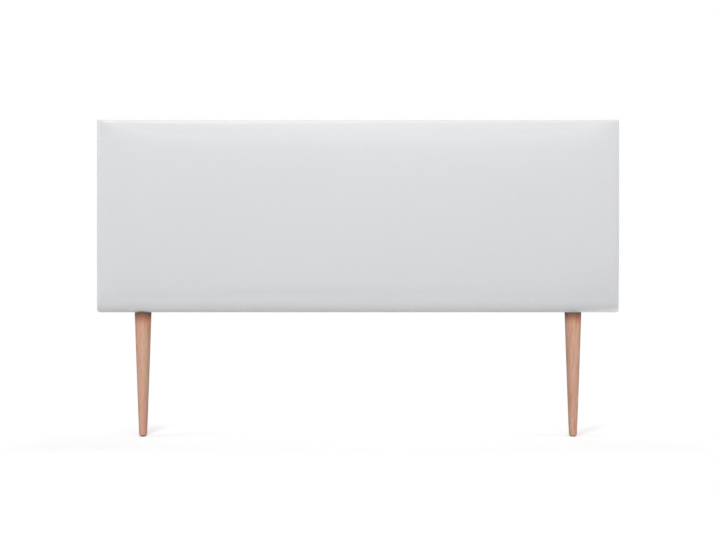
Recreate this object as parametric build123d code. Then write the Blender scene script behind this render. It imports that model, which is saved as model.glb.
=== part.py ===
from build123d import *
import os

# Upholstered headboard for a double bed, standing on two turned legs.
#
# A pine frame carries a thin hardboard front, a foam pad and an artificial leather cover that
# turns over on to the back. A fibre cloth closes the back. Each leg hangs on a hanger bolt in a
# threaded insert in the bottom rail and stands on a plastic glide. Two keyhole plates on the back
# hook over screws in the wall, because two legs in a line can't hold the panel up by themselves.
#
# The front faces -Y and +Z is up. The origin is on the floor, midway between the legs and
# midway through the panel's depth. Left and right are as seen from the front. Sizes are in
# millimetres.

# The panel, measured over its cover
PANEL_WIDTH = 1650.0
PANEL_HEIGHT = 608.0
FLOOR_GAP = 395.0
TOP_CORNER_RADIUS = 5.0
BOTTOM_CORNER_RADIUS = 9.0

# The layers of the panel, from the wall to the room
PLATE_THICKNESS = 2.0
COVER_THICKNESS = 1.2
FRAME_DEPTH = 40.0
BOARD_THICKNESS = 3.0
FOAM_DEPTH = 20.0
COVER_EASE = 0.3

# The soft front: it falls away near its edges and rolls over to the sides
ROLL_OFF_WIDTH = 110.0
ROLL_OFF_DROP = 5.0
EDGE_RADIUS = 12.0

# The pine frame, with its uprights half-lapped to its rails
STILE_WIDTH = 60.0
TOP_RAIL_HEIGHT = 60.0
BOTTOM_RAIL_HEIGHT = 60.0
STUD_WIDTH = 45.0
LAP_DEPTH = 20.0
CORNER_BLOCK_LEG = 70.0
CORNER_BLOCK_DEPTH = 22.0

# The countersunk screws: one through each corner joint, and two for each keyhole plate
SCREW_DIAMETER = 4.0
SCREW_HEAD_DIAMETER = 8.0
SCREW_TIP_CHAMFER = 0.4
FRAME_SCREW_LENGTH = 32.0
PLATE_SCREW_LENGTH = 25.0
PLATE_HOLE_CLEARANCE = 0.3

# How much deeper than its screw, bolt or nail a blind hole is drilled
HOLE_OVERDRILL = 1.0

# The cover's turned-over edge and the cloth on the back
FLANGE_WIDTH = 60.0
CLOTH_LAP = 14.0
CLOTH_THICKNESS = 0.5
CLOTH_HEM = 10.0
PLEAT_CLEARANCE = 2.0

# The keyhole plates
PLATE_INSET = 225.0
PLATE_LENGTH = 76.0
PLATE_HEIGHT = 30.0
PLATE_CORNER_RADIUS = 6.0
PLATE_DROP = 24.0
PLATE_SCREW_SPACING = 58.0
KEYHOLE_RADIUS = 5.0
KEYHOLE_SLOT_WIDTH = 5.0
KEYHOLE_SLOT_RISE = 8.0
KEYHOLE_DROP = 3.0
POCKET_MARGIN = 2.5
POCKET_DEPTH = 12.0
PLATE_LAP = 2.0

# The legs
LEG_INSET = 141.0
LEG_SETBACK = 27.0
LEG_TOP_DIAMETER = 52.5
LEG_FOOT_DIAMETER = 25.0
LEG_FOOT_CHAMFER = 3.0

# The hanger bolts and the threaded inserts
BOLT_DIAMETER = 8.0
BOLT_IN_LEG = 45.0
BOLT_IN_INSERT = 18.0
BOLT_CHAMFER = 0.8
INSERT_DIAMETER = 12.0
INSERT_LENGTH = 22.0
THREAD_CLEARANCE = 0.05
COVER_HOLE_CLEARANCE = 1.0

# The glides under the legs and their nails
GLIDE_DIAMETER = 18.0
GLIDE_HEIGHT = 3.0
NAIL_DIAMETER = 2.4
NAIL_HEAD_DIAMETER = 9.0
NAIL_HEAD_HEIGHT = 1.2
NAIL_LENGTH = 20.0
NAIL_HEAD_RECESS = 0.8

# How far a cutting solid runs past what it cuts
OVERRUN = 5.0

# Planes of the panel, worked out from its layers
PANEL_DEPTH = (
    PLATE_THICKNESS + 2 * COVER_THICKNESS + FRAME_DEPTH + BOARD_THICKNESS + FOAM_DEPTH + COVER_EASE
)
PLATE_BACK = PANEL_DEPTH / 2
FLANGE_BACK = PLATE_BACK - PLATE_THICKNESS
FRAME_BACK = FLANGE_BACK - COVER_THICKNESS
FRAME_FRONT = FRAME_BACK - FRAME_DEPTH
LAP_PLANE = FRAME_FRONT + LAP_DEPTH
BOARD_FRONT = FRAME_FRONT - BOARD_THICKNESS
COVER_FRONT = -PANEL_DEPTH / 2
PANEL_TOP = FLOOR_GAP + PANEL_HEIGHT
PANEL_MIDDLE = FLOOR_GAP + PANEL_HEIGHT / 2

# The frame's outside, which the cover fits, and the clear space inside it
FRAME_WIDTH = PANEL_WIDTH - 2 * COVER_THICKNESS
FRAME_LEFT = -FRAME_WIDTH / 2
FRAME_RIGHT = FRAME_WIDTH / 2
FRAME_BOTTOM = FLOOR_GAP + COVER_THICKNESS
FRAME_TOP = PANEL_TOP - COVER_THICKNESS
CLEAR_LEFT = FRAME_LEFT + STILE_WIDTH
CLEAR_RIGHT = FRAME_RIGHT - STILE_WIDTH
CLEAR_BOTTOM = FRAME_BOTTOM + BOTTOM_RAIL_HEIGHT
CLEAR_TOP = FRAME_TOP - TOP_RAIL_HEIGHT

# Where the studs, plates and legs are: the two studs leave three equal bays
SIDES = {"left": -1, "right": 1}
BAY_WIDTH = (CLEAR_RIGHT - CLEAR_LEFT - 2 * STUD_WIDTH) / 3
STUD_X = (BAY_WIDTH + STUD_WIDTH) / 2
PLATE_X = PANEL_WIDTH / 2 - PLATE_INSET
PLATE_Z = PANEL_TOP - PLATE_DROP
LEG_X = PANEL_WIDTH / 2 - LEG_INSET
LEG_Y = FLANGE_BACK - LEG_SETBACK


def block(x, y, z):
    """A box between pairs of planes, each given as (low, high)."""
    size = [high - low for low, high in (x, y, z)]
    middle = [(low + high) / 2 for low, high in (x, y, z)]
    return Pos(*middle) * Box(*size)


def turned(*points):
    """A solid turned about Z from half its section, given as (radius, height) points."""
    return revolve(Plane.XZ * make_face(Polyline(*points, close=True)), Axis.Z)


def facing_back(x, y, z):
    """A plane whose normal points at the wall, with its own Y up."""
    return Plane(origin=(x, y, z), x_dir=(-1, 0, 0), z_dir=(0, 1, 0))


def without(solid, cutters):
    """The solid with each of the cutters taken away."""
    for cutter in cutters:
        solid = solid - cutter
    return solid


def rounded_outline(width, height, top_radius, bottom_radius):
    """A rectangle with its top and bottom corners rounded apart."""
    face = Rectangle(width, height)
    face = fillet(face.vertices().group_by(Axis.Y)[-1], top_radius)
    return fillet(face.vertices().group_by(Axis.Y)[0], bottom_radius)


def panel_outline(inset):
    """The panel's outline, taken in by inset on every side."""
    return rounded_outline(
        PANEL_WIDTH - 2 * inset,
        PANEL_HEIGHT - 2 * inset,
        TOP_CORNER_RADIUS - inset,
        BOTTOM_CORNER_RADIUS - inset,
    )


def outline_slab(inset, y_back, y_front):
    """The panel's outline as a flat slab between two planes."""
    plane = facing_back(0, y_front, PANEL_MIDDLE)
    return extrude(plane * panel_outline(inset), y_back - y_front)


def soft_profile(span, depth, edge_radius):
    """Section through the soft front: flat, falling away to a rolled edge. The front is up."""
    half = span / 2
    shoulder = half - ROLL_OFF_WIDTH
    fall_radius = (ROLL_OFF_WIDTH**2 + ROLL_OFF_DROP**2) / (2 * ROLL_OFF_DROP)
    flat = Line((-shoulder, depth), (shoulder, depth))
    right_fall = RadiusArc((shoulder, depth), (half, depth - ROLL_OFF_DROP), fall_radius)
    left_fall = RadiusArc((-half, depth - ROLL_OFF_DROP), (-shoulder, depth), fall_radius)
    base = Polyline(
        (half, depth - ROLL_OFF_DROP), (half, 0), (-half, 0), (-half, depth - ROLL_OFF_DROP)
    )
    face = make_face([flat, right_fall, base, left_fall])
    rim = [
        corner
        for corner in face.vertices()
        if abs(corner.X) > shoulder + ROLL_OFF_WIDTH / 2 and corner.Y > depth / 2
    ]
    return fillet(rim, edge_radius)


def soft_block(inset, y_back):
    """The panel from y_back to its soft front, taken in by inset from the cover's outside."""
    y_front = COVER_FRONT + inset
    depth = y_back - y_front
    width = PANEL_WIDTH - 2 * inset
    height = PANEL_HEIGHT - 2 * inset
    across = Plane(origin=(0, y_back, PANEL_MIDDLE), x_dir=(-1, 0, 0), z_dir=(0, 0, 1))
    upright = Plane(origin=(0, y_back, PANEL_MIDDLE), x_dir=(0, 0, 1), z_dir=(1, 0, 0))
    rolled_sides = extrude(
        across * soft_profile(width, depth, EDGE_RADIUS - inset), height / 2, both=True
    )
    rolled_ends = extrude(
        upright * soft_profile(height, depth, EDGE_RADIUS - inset), width / 2, both=True
    )
    return rolled_sides & rolled_ends & outline_slab(inset, y_back, y_front - OVERRUN)


def countersunk_screw(length):
    """A countersunk screw along -Z, with its flat head at the origin."""
    shank, head = SCREW_DIAMETER / 2, SCREW_HEAD_DIAMETER / 2
    return turned(
        (0, 0),
        (head, 0),
        (shank, shank - head),
        (shank, SCREW_TIP_CHAMFER - length),
        (shank - SCREW_TIP_CHAMFER, -length),
        (0, -length),
    )


def screw_hole(length, clearance):
    """What a countersunk screw's hole takes away, wider than the screw by clearance."""
    shank, head = SCREW_DIAMETER / 2, SCREW_HEAD_DIAMETER / 2
    floor = -length - HOLE_OVERDRILL
    return turned(
        (0, OVERRUN),
        (head + clearance, OVERRUN),
        (head + clearance, 0),
        (shank + clearance, shank - head),
        (shank + clearance, floor),
        (0, floor),
    )


def from_the_back(solid, places, y):
    """Copies of a piece that runs along -Z, turned to run into the panel from behind."""
    return [Pos(x, y, z) * (Rot(-90, 0, 0) * solid) for x, z in places]


def frame_screw_places():
    """One screw in the middle of each corner joint."""
    left, right = (FRAME_LEFT + CLEAR_LEFT) / 2, (FRAME_RIGHT + CLEAR_RIGHT) / 2
    low, high = (FRAME_BOTTOM + CLEAR_BOTTOM) / 2, (FRAME_TOP + CLEAR_TOP) / 2
    return [(x, z) for x in (left, right) for z in (low, high)]


def plate_screw_places():
    """Two screws for each keyhole plate, one at either end."""
    reach = PLATE_SCREW_SPACING / 2
    return [(x + end * reach, PLATE_Z) for x in (-PLATE_X, PLATE_X) for end in (-1, 1)]


def frame_screw_holes():
    return from_the_back(screw_hole(FRAME_SCREW_LENGTH, 0), frame_screw_places(), FRAME_BACK)


def plate_screw_holes(clearance):
    """The holes of both plates' screws, through the plates and into the top rail."""
    hole = screw_hole(PLATE_SCREW_LENGTH, clearance)
    return from_the_back(hole, plate_screw_places(), PLATE_BACK)


def rising_slot(radius):
    """A slot from the keyhole's centre to where the wall screw comes to rest above it."""
    low = Pos(0, -KEYHOLE_DROP) * Circle(radius)
    high = Pos(0, KEYHOLE_SLOT_RISE - KEYHOLE_DROP) * Circle(radius)
    middle = Pos(0, KEYHOLE_SLOT_RISE / 2 - KEYHOLE_DROP) * Rectangle(2 * radius, KEYHOLE_SLOT_RISE)
    return low + middle + high


def keyhole():
    """A round hole that lets the wall screw's head in, with the narrow slot rising from it."""
    return Pos(0, -KEYHOLE_DROP) * Circle(KEYHOLE_RADIUS) + rising_slot(KEYHOLE_SLOT_WIDTH / 2)


def hanging_pockets():
    """Room in the top rail for the wall screws' heads, behind each keyhole."""
    shape = rising_slot(KEYHOLE_RADIUS + POCKET_MARGIN)
    planes = [facing_back(x, FLANGE_BACK - POCKET_DEPTH, PLATE_Z) for x in (-PLATE_X, PLATE_X)]
    return [extrude(plane * shape, POCKET_DEPTH) for plane in planes]


def plate_windows():
    """Where the cover is cut away behind the plates, which lap over its cut edges."""
    half_length, half_height = PLATE_LENGTH / 2 - PLATE_LAP, PLATE_HEIGHT / 2 - PLATE_LAP
    y = (FRAME_BACK - OVERRUN, FLANGE_BACK + OVERRUN)
    z = (PLATE_Z - half_height, PLATE_Z + half_height)
    return [block((x - half_length, x + half_length), y, z) for x in (-PLATE_X, PLATE_X)]


def on_leg(side, solid):
    """A piece turned about Z, moved to a leg's axis."""
    return Pos(SIDES[side] * LEG_X, LEG_Y, 0) * solid


def rod(radius, low, high):
    """An upright rod about Z between two heights."""
    return Pos(0, 0, low) * extrude(Circle(radius), high - low)


def rail_notches(z):
    """The halvings in a rail's front for the stiles and studs."""
    half_stud = STUD_WIDTH / 2
    spans = [(FRAME_LEFT, CLEAR_LEFT), (CLEAR_RIGHT, FRAME_RIGHT)]
    spans += [(x - half_stud, x + half_stud) for x in (-STUD_X, STUD_X)]
    return [block(span, (FRAME_FRONT, LAP_PLANE), z) for span in spans]


def frame_rail(z):
    """A rail along the whole frame between two heights, notched and drilled."""
    rail = block((FRAME_LEFT, FRAME_RIGHT), (FRAME_FRONT, FRAME_BACK), z)
    rail = rail & outline_slab(COVER_THICKNESS, FRAME_BACK, FRAME_FRONT)
    return without(rail, rail_notches(z) + frame_screw_holes())


def make_top_rail():
    return without(frame_rail((CLEAR_TOP, FRAME_TOP)), plate_screw_holes(0) + hanging_pockets())


def make_bottom_rail():
    seat = rod(INSERT_DIAMETER / 2, FRAME_BOTTOM - OVERRUN, FRAME_BOTTOM + INSERT_LENGTH)
    seats = [on_leg(side, seat) for side in SIDES]
    return without(frame_rail((FRAME_BOTTOM, CLEAR_BOTTOM)), seats)


def upright_member(x):
    """A stile or stud: full height in front, and cut back behind where it laps the rails."""
    tongue = block(x, (FRAME_FRONT, LAP_PLANE), (FRAME_BOTTOM, FRAME_TOP))
    body = block(x, (FRAME_FRONT, FRAME_BACK), (CLEAR_BOTTOM, CLEAR_TOP))
    member = tongue + body
    return member & outline_slab(COVER_THICKNESS, FRAME_BACK, FRAME_FRONT)


def make_stile(side):
    x = (FRAME_LEFT, CLEAR_LEFT) if side == "left" else (CLEAR_RIGHT, FRAME_RIGHT)
    return without(upright_member(x), frame_screw_holes())


def make_stud(side):
    x = SIDES[side] * STUD_X
    return upright_member((x - STUD_WIDTH / 2, x + STUD_WIDTH / 2))


def make_corner_block(side, level):
    """A glued triangular block in one of the frame's inner corners, flush with its back."""
    x = CLEAR_LEFT if side == "left" else CLEAR_RIGHT
    z = CLEAR_BOTTOM if level == "bottom" else CLEAR_TOP
    inward = -SIDES[side] * CORNER_BLOCK_LEG
    upward = CORNER_BLOCK_LEG if level == "bottom" else -CORNER_BLOCK_LEG
    face = make_face(Polyline((x, z), (x + inward, z), (x, z + upward), close=True))
    plane = Plane(origin=(0, FRAME_BACK, 0), x_dir=(1, 0, 0), z_dir=(0, -1, 0))
    return extrude(plane * face, CORNER_BLOCK_DEPTH)


def make_frame_screws():
    screw = countersunk_screw(FRAME_SCREW_LENGTH)
    return Compound(from_the_back(screw, frame_screw_places(), FRAME_BACK))


def make_front_board():
    return outline_slab(COVER_THICKNESS, FRAME_FRONT, BOARD_FRONT)


def make_foam_pad():
    return soft_block(COVER_THICKNESS + COVER_EASE, BOARD_FRONT)


def make_cover():
    """The cover: a tray over the front and sides, turned over on to the back, with a pleat
    folded flat at each corner of the turned-over edge."""
    shell = soft_block(0, FLANGE_BACK)
    cavity = soft_block(COVER_THICKNESS, FRAME_BACK)
    window = block(
        (-PANEL_WIDTH / 2 + FLANGE_WIDTH, PANEL_WIDTH / 2 - FLANGE_WIDTH),
        (FRAME_BACK - OVERRUN, FLANGE_BACK + OVERRUN),
        (FLOOR_GAP + FLANGE_WIDTH, PANEL_TOP - FLANGE_WIDTH),
    )
    shell = shell - cavity - window
    for side in SIDES.values():
        for level in (-1, 1):
            shell = shell + corner_pleat(side, level)
    bolt_hole = rod(
        BOLT_DIAMETER / 2 + COVER_HOLE_CLEARANCE, FLOOR_GAP - OVERRUN, FRAME_BOTTOM + OVERRUN
    )
    bolt_holes = [on_leg(side, bolt_hole) for side in SIDES]
    return without(shell, bolt_holes + plate_windows())


def cloth_margin():
    """How far the back cloth's edge lies inside the panel's edge."""
    return FLANGE_WIDTH - CLOTH_LAP


def corner_pleat(side, level):
    """The cover's spare leather at a corner, folded under as a flat triangle on the back."""
    leg = 2 * cloth_margin() - PLEAT_CLEARANCE
    x = side * PANEL_WIDTH / 2
    z = PANEL_MIDDLE + level * PANEL_HEIGHT / 2
    face = make_face(Polyline((x, z), (x - side * leg, z), (x, z - level * leg), close=True))
    plane = Plane(origin=(0, FLANGE_BACK + COVER_THICKNESS, 0), x_dir=(1, 0, 0), z_dir=(0, -1, 0))
    fold = extrude(plane * face, COVER_THICKNESS)
    return fold & outline_slab(0, FLANGE_BACK + COVER_THICKNESS, FLANGE_BACK)


def make_back_cloth():
    """A sheet over the back's opening, with a doubled hem round its edge."""
    margin = cloth_margin()
    width = PANEL_WIDTH - 2 * margin
    height = PANEL_HEIGHT - 2 * margin
    plane = facing_back(0, FLANGE_BACK, PANEL_MIDDLE)
    sheet = extrude(plane * Rectangle(width, height), CLOTH_THICKNESS)
    hem = Rectangle(width, height) - Rectangle(width - 2 * CLOTH_HEM, height - 2 * CLOTH_HEM)
    return sheet + extrude(plane * hem, 2 * CLOTH_THICKNESS)


def make_plate(side):
    """A steel keyhole plate, screwed over a window in the cover and a pocket in the top rail."""
    plane = facing_back(SIDES[side] * PLATE_X, FLANGE_BACK, PLATE_Z)
    face = Rectangle(PLATE_LENGTH, PLATE_HEIGHT)
    face = fillet(face.vertices(), PLATE_CORNER_RADIUS) - keyhole()
    plate = extrude(plane * face, PLATE_THICKNESS)
    return without(plate, plate_screw_holes(PLATE_HOLE_CLEARANCE))


def make_plate_screws():
    screw = countersunk_screw(PLATE_SCREW_LENGTH)
    return Compound(from_the_back(screw, plate_screw_places(), PLATE_BACK))


def make_leg(side):
    """A turned leg, tapering from its top to its foot, bored for its bolt and its nail."""
    top, foot = LEG_TOP_DIAMETER / 2, LEG_FOOT_DIAMETER / 2
    leg = turned((0, GLIDE_HEIGHT), (foot, GLIDE_HEIGHT), (top, FLOOR_GAP), (0, FLOOR_GAP))
    rims = leg.edges().filter_by(GeomType.CIRCLE).sort_by(Axis.Z)
    leg = chamfer(rims[0], LEG_FOOT_CHAMFER)
    bolt_bore = rod(
        BOLT_DIAMETER / 2, FLOOR_GAP - BOLT_IN_LEG - HOLE_OVERDRILL, FLOOR_GAP + OVERRUN
    )
    nail_bore = rod(
        NAIL_DIAMETER / 2,
        GLIDE_HEIGHT - OVERRUN,
        NAIL_HEAD_RECESS + NAIL_LENGTH + HOLE_OVERDRILL,
    )
    return on_leg(side, without(leg, [bolt_bore, nail_bore]))


def make_leg_bolts():
    """Hanger bolts: a wood screw below, in the leg, and a machine screw above."""
    radius = BOLT_DIAMETER / 2
    low, high = FLOOR_GAP - BOLT_IN_LEG, FRAME_BOTTOM + BOLT_IN_INSERT
    bolt = turned(
        (0, low),
        (radius - BOLT_CHAMFER, low),
        (radius, low + BOLT_CHAMFER),
        (radius, high - BOLT_CHAMFER),
        (radius - BOLT_CHAMFER, high),
        (0, high),
    )
    return Compound([on_leg(side, bolt) for side in SIDES])


def make_threaded_inserts():
    """Threaded bushes, driven flush into the bottom rail from below."""
    top = FRAME_BOTTOM + INSERT_LENGTH
    thread = rod(BOLT_DIAMETER / 2 + THREAD_CLEARANCE, FRAME_BOTTOM - OVERRUN, top + OVERRUN)
    insert = rod(INSERT_DIAMETER / 2, FRAME_BOTTOM, top) - thread
    return Compound([on_leg(side, insert) for side in SIDES])


def glide_nail():
    """A flat-headed nail that stands in its glide and runs up into the leg."""
    low, high = NAIL_HEAD_RECESS, NAIL_HEAD_RECESS + NAIL_LENGTH
    head = rod(NAIL_HEAD_DIAMETER / 2, low, low + NAIL_HEAD_HEIGHT)
    return head + rod(NAIL_DIAMETER / 2, low, high)


def make_glide(side):
    """A moulded plastic glide with the nail's head inside it."""
    return on_leg(side, rod(GLIDE_DIAMETER / 2, 0, GLIDE_HEIGHT) - glide_nail())


def make_glide_nails():
    return Compound([on_leg(side, glide_nail()) for side in SIDES])


def build():
    """Every piece of the headboard, by the name of its node."""
    pieces = {
        "top_rail": make_top_rail(),
        "bottom_rail": make_bottom_rail(),
        "frame_screws": make_frame_screws(),
        "front_board": make_front_board(),
        "foam_pad": make_foam_pad(),
        "cover": make_cover(),
        "back_cloth": make_back_cloth(),
        "plate_screws": make_plate_screws(),
        "leg_bolts": make_leg_bolts(),
        "threaded_inserts": make_threaded_inserts(),
        "glide_nails": make_glide_nails(),
    }
    for side in SIDES:
        pieces[f"{side}_stile"] = make_stile(side)
        pieces[f"{side}_stud"] = make_stud(side)
        for level in ("bottom", "top"):
            pieces[f"{level}_{side}_corner_block"] = make_corner_block(side, level)
        pieces[f"{side}_keyhole_plate"] = make_plate(side)
        pieces[f"{side}_leg"] = make_leg(side)
        pieces[f"{side}_glide"] = make_glide(side)
    return pieces


def main():
    os.makedirs("parts", exist_ok=True)
    for node, piece in build().items():
        export_step(piece, f"parts/{node}.step")


main()
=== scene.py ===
import math
import random

import bmesh
import bpy
import numpy as np
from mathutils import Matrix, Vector, noise


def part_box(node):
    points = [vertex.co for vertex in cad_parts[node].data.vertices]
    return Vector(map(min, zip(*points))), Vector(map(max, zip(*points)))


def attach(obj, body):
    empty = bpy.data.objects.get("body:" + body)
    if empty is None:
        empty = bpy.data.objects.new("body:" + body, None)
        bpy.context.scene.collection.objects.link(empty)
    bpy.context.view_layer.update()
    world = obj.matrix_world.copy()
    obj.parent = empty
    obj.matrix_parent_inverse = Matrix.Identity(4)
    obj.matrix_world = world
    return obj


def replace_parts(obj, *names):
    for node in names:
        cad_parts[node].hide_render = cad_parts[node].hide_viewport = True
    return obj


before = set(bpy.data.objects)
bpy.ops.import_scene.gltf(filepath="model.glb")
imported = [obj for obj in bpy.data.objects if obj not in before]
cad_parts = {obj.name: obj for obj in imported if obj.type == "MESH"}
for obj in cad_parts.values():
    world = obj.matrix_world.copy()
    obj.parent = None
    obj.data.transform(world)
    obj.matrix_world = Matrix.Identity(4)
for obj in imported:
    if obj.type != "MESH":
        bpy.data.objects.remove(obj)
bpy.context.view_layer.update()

# The looks of the upholstered headboard, in metres: its leather cover, foam, cloth back, turned
# legs and fittings. The front faces -Y, +Z is up, and the floor is at z = 0.
BODY = "root"
SIDES = ("left", "right")
MM = 0.001

# What the frame says about the panel and its planes
PANEL_LOW, PANEL_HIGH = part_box("cover")
PANEL_WIDTH = PANEL_HIGH.x - PANEL_LOW.x
PANEL_HEIGHT = PANEL_HIGH.z - PANEL_LOW.z
PANEL_MIDDLE = (PANEL_LOW.z + PANEL_HIGH.z) / 2
FLANGE_BACK, PLATE_BACK = [corner.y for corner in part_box("left_keyhole_plate")]
FRAME_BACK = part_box("top_rail")[1].y
BOARD_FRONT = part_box("front_board")[0].y

# The cover's outline and its soft edges. An edge rolls over within its reach and by its depth, on
# top of a fall that fades away from the edge.
COVER_THICKNESS = 1.2 * MM
TOP_CORNER_RADIUS = 5 * MM
BOTTOM_CORNER_RADIUS = 9 * MM
SIDE_EDGE = {"reach": 12 * MM, "depth": 12 * MM, "fall": 5 * MM, "fade": 46 * MM}
TOP_EDGE = {"reach": 12 * MM, "depth": 10 * MM, "fall": 10 * MM, "fade": 50 * MM}
BOTTOM_EDGE = {"reach": 36 * MM, "depth": 15 * MM, "fall": 8.5 * MM, "fade": 80 * MM}
CORNER_POWER = 5.0
CROWN_RISE = 2.5 * MM

# Near the top corners the fall fades out and the roll gets tighter
TOP_CORNER_FADE = 60 * MM
CORNER_TIGHTNESS = 2.5

# The slack lower right corner, and what keeps the layers apart
SLACK_WIDTH = 230 * MM
SLACK_HEIGHT = 150 * MM
SLACK_DEPTH = 10 * MM
SLACK_SOFTNESS = 0.15
BOARD_CLEARANCE = 0.5 * MM
FOAM_GAP = 0.5 * MM
FOAM_LEAST = 0.2 * MM

# The cover's back edge and flange, and the steps of its mesh
BACK_EDGE_RADIUS = 2.5 * MM
FLANGE_WIDTH = 60 * MM
GRID_STEP = 12 * MM
ROLL_STEPS = 7
WALL_STEPS = 6
BACK_EDGE_STEPS = 4
FLANGE_STEPS = 6

# The cover's simulated swell
SWELL_PRESSURE = 4.0
SWELL_FRAMES = 20
SWELL_QUALITY = 6
SWELL_STIFFNESS = {"tension": 40, "compression": 40, "shear": 20, "bending": 4}
SWELL_FREE_DEPTH = 10 * MM
SWELL_CAP = 1.5 * MM

# The cover's openings behind the keyhole plates and round the leg bolts
PLATE_LAP = 2 * MM
PLATE_CUT = 4 * MM
BOLT_HOLE_CLEARANCE = 1 * MM
BOLT_CUT = 5 * MM

# The cover's folded corners on the back, which end short of the cloth
FOLD_LEG = 90 * MM
FOLD_INSET = 2.5 * MM
FOLD_REACH = FOLD_LEG - 2 * FOLD_INSET
FOLD_THICKNESS = 1.4 * MM
FOLD_ROUNDING = 1.3 * MM
PLEAT_PLACES = (0.43, 0.5, 0.57)
PLEAT_WIDTH = 0.012
PLEAT_DEPTH = 0.5 * MM
PLEAT_FADE = 0.7

# The cloth on the back and its hem
CLOTH_THICKNESS = 0.45 * MM
CLOTH_LAYER = 0.5 * MM
CLOTH_EDGE_PLACES_MM = (0, 1, 3, 6, 9, 9.6, 10.2, 12, 16, 24)
CLOTH_STEP = 16 * MM
CLOTH_SAG = 0.8 * MM
SAG_FADE = 70 * MM
PULL_FADE = 90 * MM
HEM_WIDTH = 10 * MM
HEM_SLOPE = 0.6 * MM

# The staples. Half an outline is pairs of outer and inner points, from a leg's tip to the crown.
# Each staple drifts along its line, wanders across it and tilts by up to these amounts.
STAPLE_OUTLINE_MM = (
    ((-5, -2.2), (-4.5, -2.2)),
    ((-5, 0.1), (-4.5, -0.3)),
    ((-4.8, 0.4), (-4.35, -0.05)),
    ((-4.3, 0.5), (-4.1, 0)),
)
STAPLE_WIDTH = 1.1 * MM
STAPLE_PITCH = 68 * MM
STAPLE_MARGIN = 24 * MM
STAPLE_DRIFT_MM = 4
STAPLE_WANDER_MM = 0.8
STAPLE_TILT = 0.14
FOLD_STAPLE_SHARES = (0.24, 0.5, 0.76)
FOLD_STAPLE_INSET = 9 * MM
FOLD_STAPLE_TILT = 0.1
STAPLE_SEED = 4

# Screws, bolts, inserts and nails. A thread is its depth and its pitch.
SCREW_RADIUS = 2 * MM
SCREW_HEAD_RADIUS = 4 * MM
SCREW_THREAD = (0.6 * MM, 1.8 * MM)
PLATE_SCREW_LENGTH = 25 * MM
FRAME_SCREW_LENGTH = 32 * MM
BOLT_RADIUS = 4 * MM
BOLT_WOOD_THREAD = (0.9 * MM, 3.2 * MM)
BOLT_MACHINE_THREAD = (0.7 * MM, 1.25 * MM)
INSERT_RADIUS = 6 * MM
INSERT_BORE = 4.05 * MM
INSERT_THREAD = (0.9 * MM, 2.6 * MM)
NAIL_RADIUS = 1.2 * MM
NAIL_HEAD_RADIUS = 4.5 * MM
NAIL_HEAD_HEIGHT = 1.2 * MM
BORE_CLEARANCE = 1 * MM

# The turned legs and their glides. The rings of a leg: first and last share of its height, count.
FOOT_RADIUS = 12.5 * MM
FOOT_ROUNDING = 4 * MM
LEG_BULGE = 0.35 * MM
LEG_TOP_EASE = 0.6 * MM
GLIDE_TOP_EASE = 0.4 * MM
GLIDE_ROUNDING = 0.9 * MM
LEG_SHARES = (0.02, 0.995, 28)
# Painted shade on the legs: how far below the panel the painted contact shade reaches, and its
# darkening from there up to the panel
PAINTED_SHADE_DEPTH = 66 * MM
PAINTED_CONTACT_SHADE = (
    (0.0, (1, 1, 1)),
    (0.4, (0.98, 0.95, 0.92)),
    (0.6, (0.86, 0.75, 0.66)),
    (0.77, (0.56, 0.44, 0.37)),
    (0.93, (0.3, 0.26, 0.24)),
)
# Painted shade on the sides of the legs that face left and right
PAINTED_SIDE_SHADE = (0.68, 0.66, 0.65)

# Points round a turned piece
LEG_SEGMENTS = 96
GLIDE_SEGMENTS = 64
BUSH_SEGMENTS = 32
THREAD_SEGMENTS = 24

# Angles in degrees beyond which an edge stays sharp, and distances that join doubled points
SHARP_ANGLE = 40.0
SOFT_SHARP_ANGLE = 60.0
METAL_SHARP_ANGLE = 35.0
FLAT_ANGLE = 1
JOIN_DISTANCE = 1e-6
WELD_DISTANCE = 1e-5
TIMBER_EASE = 0.8 * MM
PLATE_EASE = 0.3 * MM

# The floor looks white, and near the object it darkens in the shadows of its legs
FLOOR_HALF = 20.0
FLOOR_COLOUR = (0.8, 0.8, 0.8, 1)
FLOOR_SHADOWED = (0.75, 0.75, 0.75, 1)
# Near the object the floor's glow is painted light: it grows towards the back to fill the panel's own
# soft shadow, and a little towards the right
FLOOR_GLOW = (0.197, 0.455)
FLOOR_GLOW_DEPTH = 0.3
FLOOR_GLOW_TILT = 0.02
FLOOR_SHADOW_DEPTH = (0.15, 0.32)
FLOOR_SHADOW_WIDTH = (0.86, 1.1)

# Each lamp's name, azimuth and elevation in degrees, distance, size, and power in watts
WORLD_STRENGTH = 0.2225
LAMP_AIM_HEIGHT = 0.6
LAMPS = (
    ("front", 14, 35, 4.0, 2.5, 45),
    ("overhead", 0, 80, 3.0, 2.5, 17.3),
    ("key", -18, 50, 4.0, 0.8, 50),
    ("left", -75, 20, 4.0, 2.0, 41),
    ("right", 75, 20, 4.0, 2.0, 34),
    ("back", 180, 8, 4.0, 2.5, 45),
)

# Camera, worked out for a picture of 716 by 540 pixels
IMAGE_WIDTH_PX = 716
PANEL_WIDTH_PX = 521.8
CAMERA_DISTANCE = 3.2
CAMERA_HEIGHT = 0.529
SENSOR_WIDTH_MM = 36.0


# Meshes


def closed_rings(rings, loop=False):
    """Points and faces of a solid from its sections, closed at its ends or on itself."""
    count = len(rings[0])
    points = [point for ring in rings for point in ring]
    faces = []
    for band in range(len(rings) if loop else len(rings) - 1):
        low = band * count
        high = (band + 1) % len(rings) * count
        for step in range(count):
            after = (step + 1) % count
            faces.append((low + step, low + after, high + after, high + step))
    if not loop:
        faces.append(tuple(range(count)))
        faces.append(tuple(range(len(points) - count, len(points))))
    return points, faces


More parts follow.
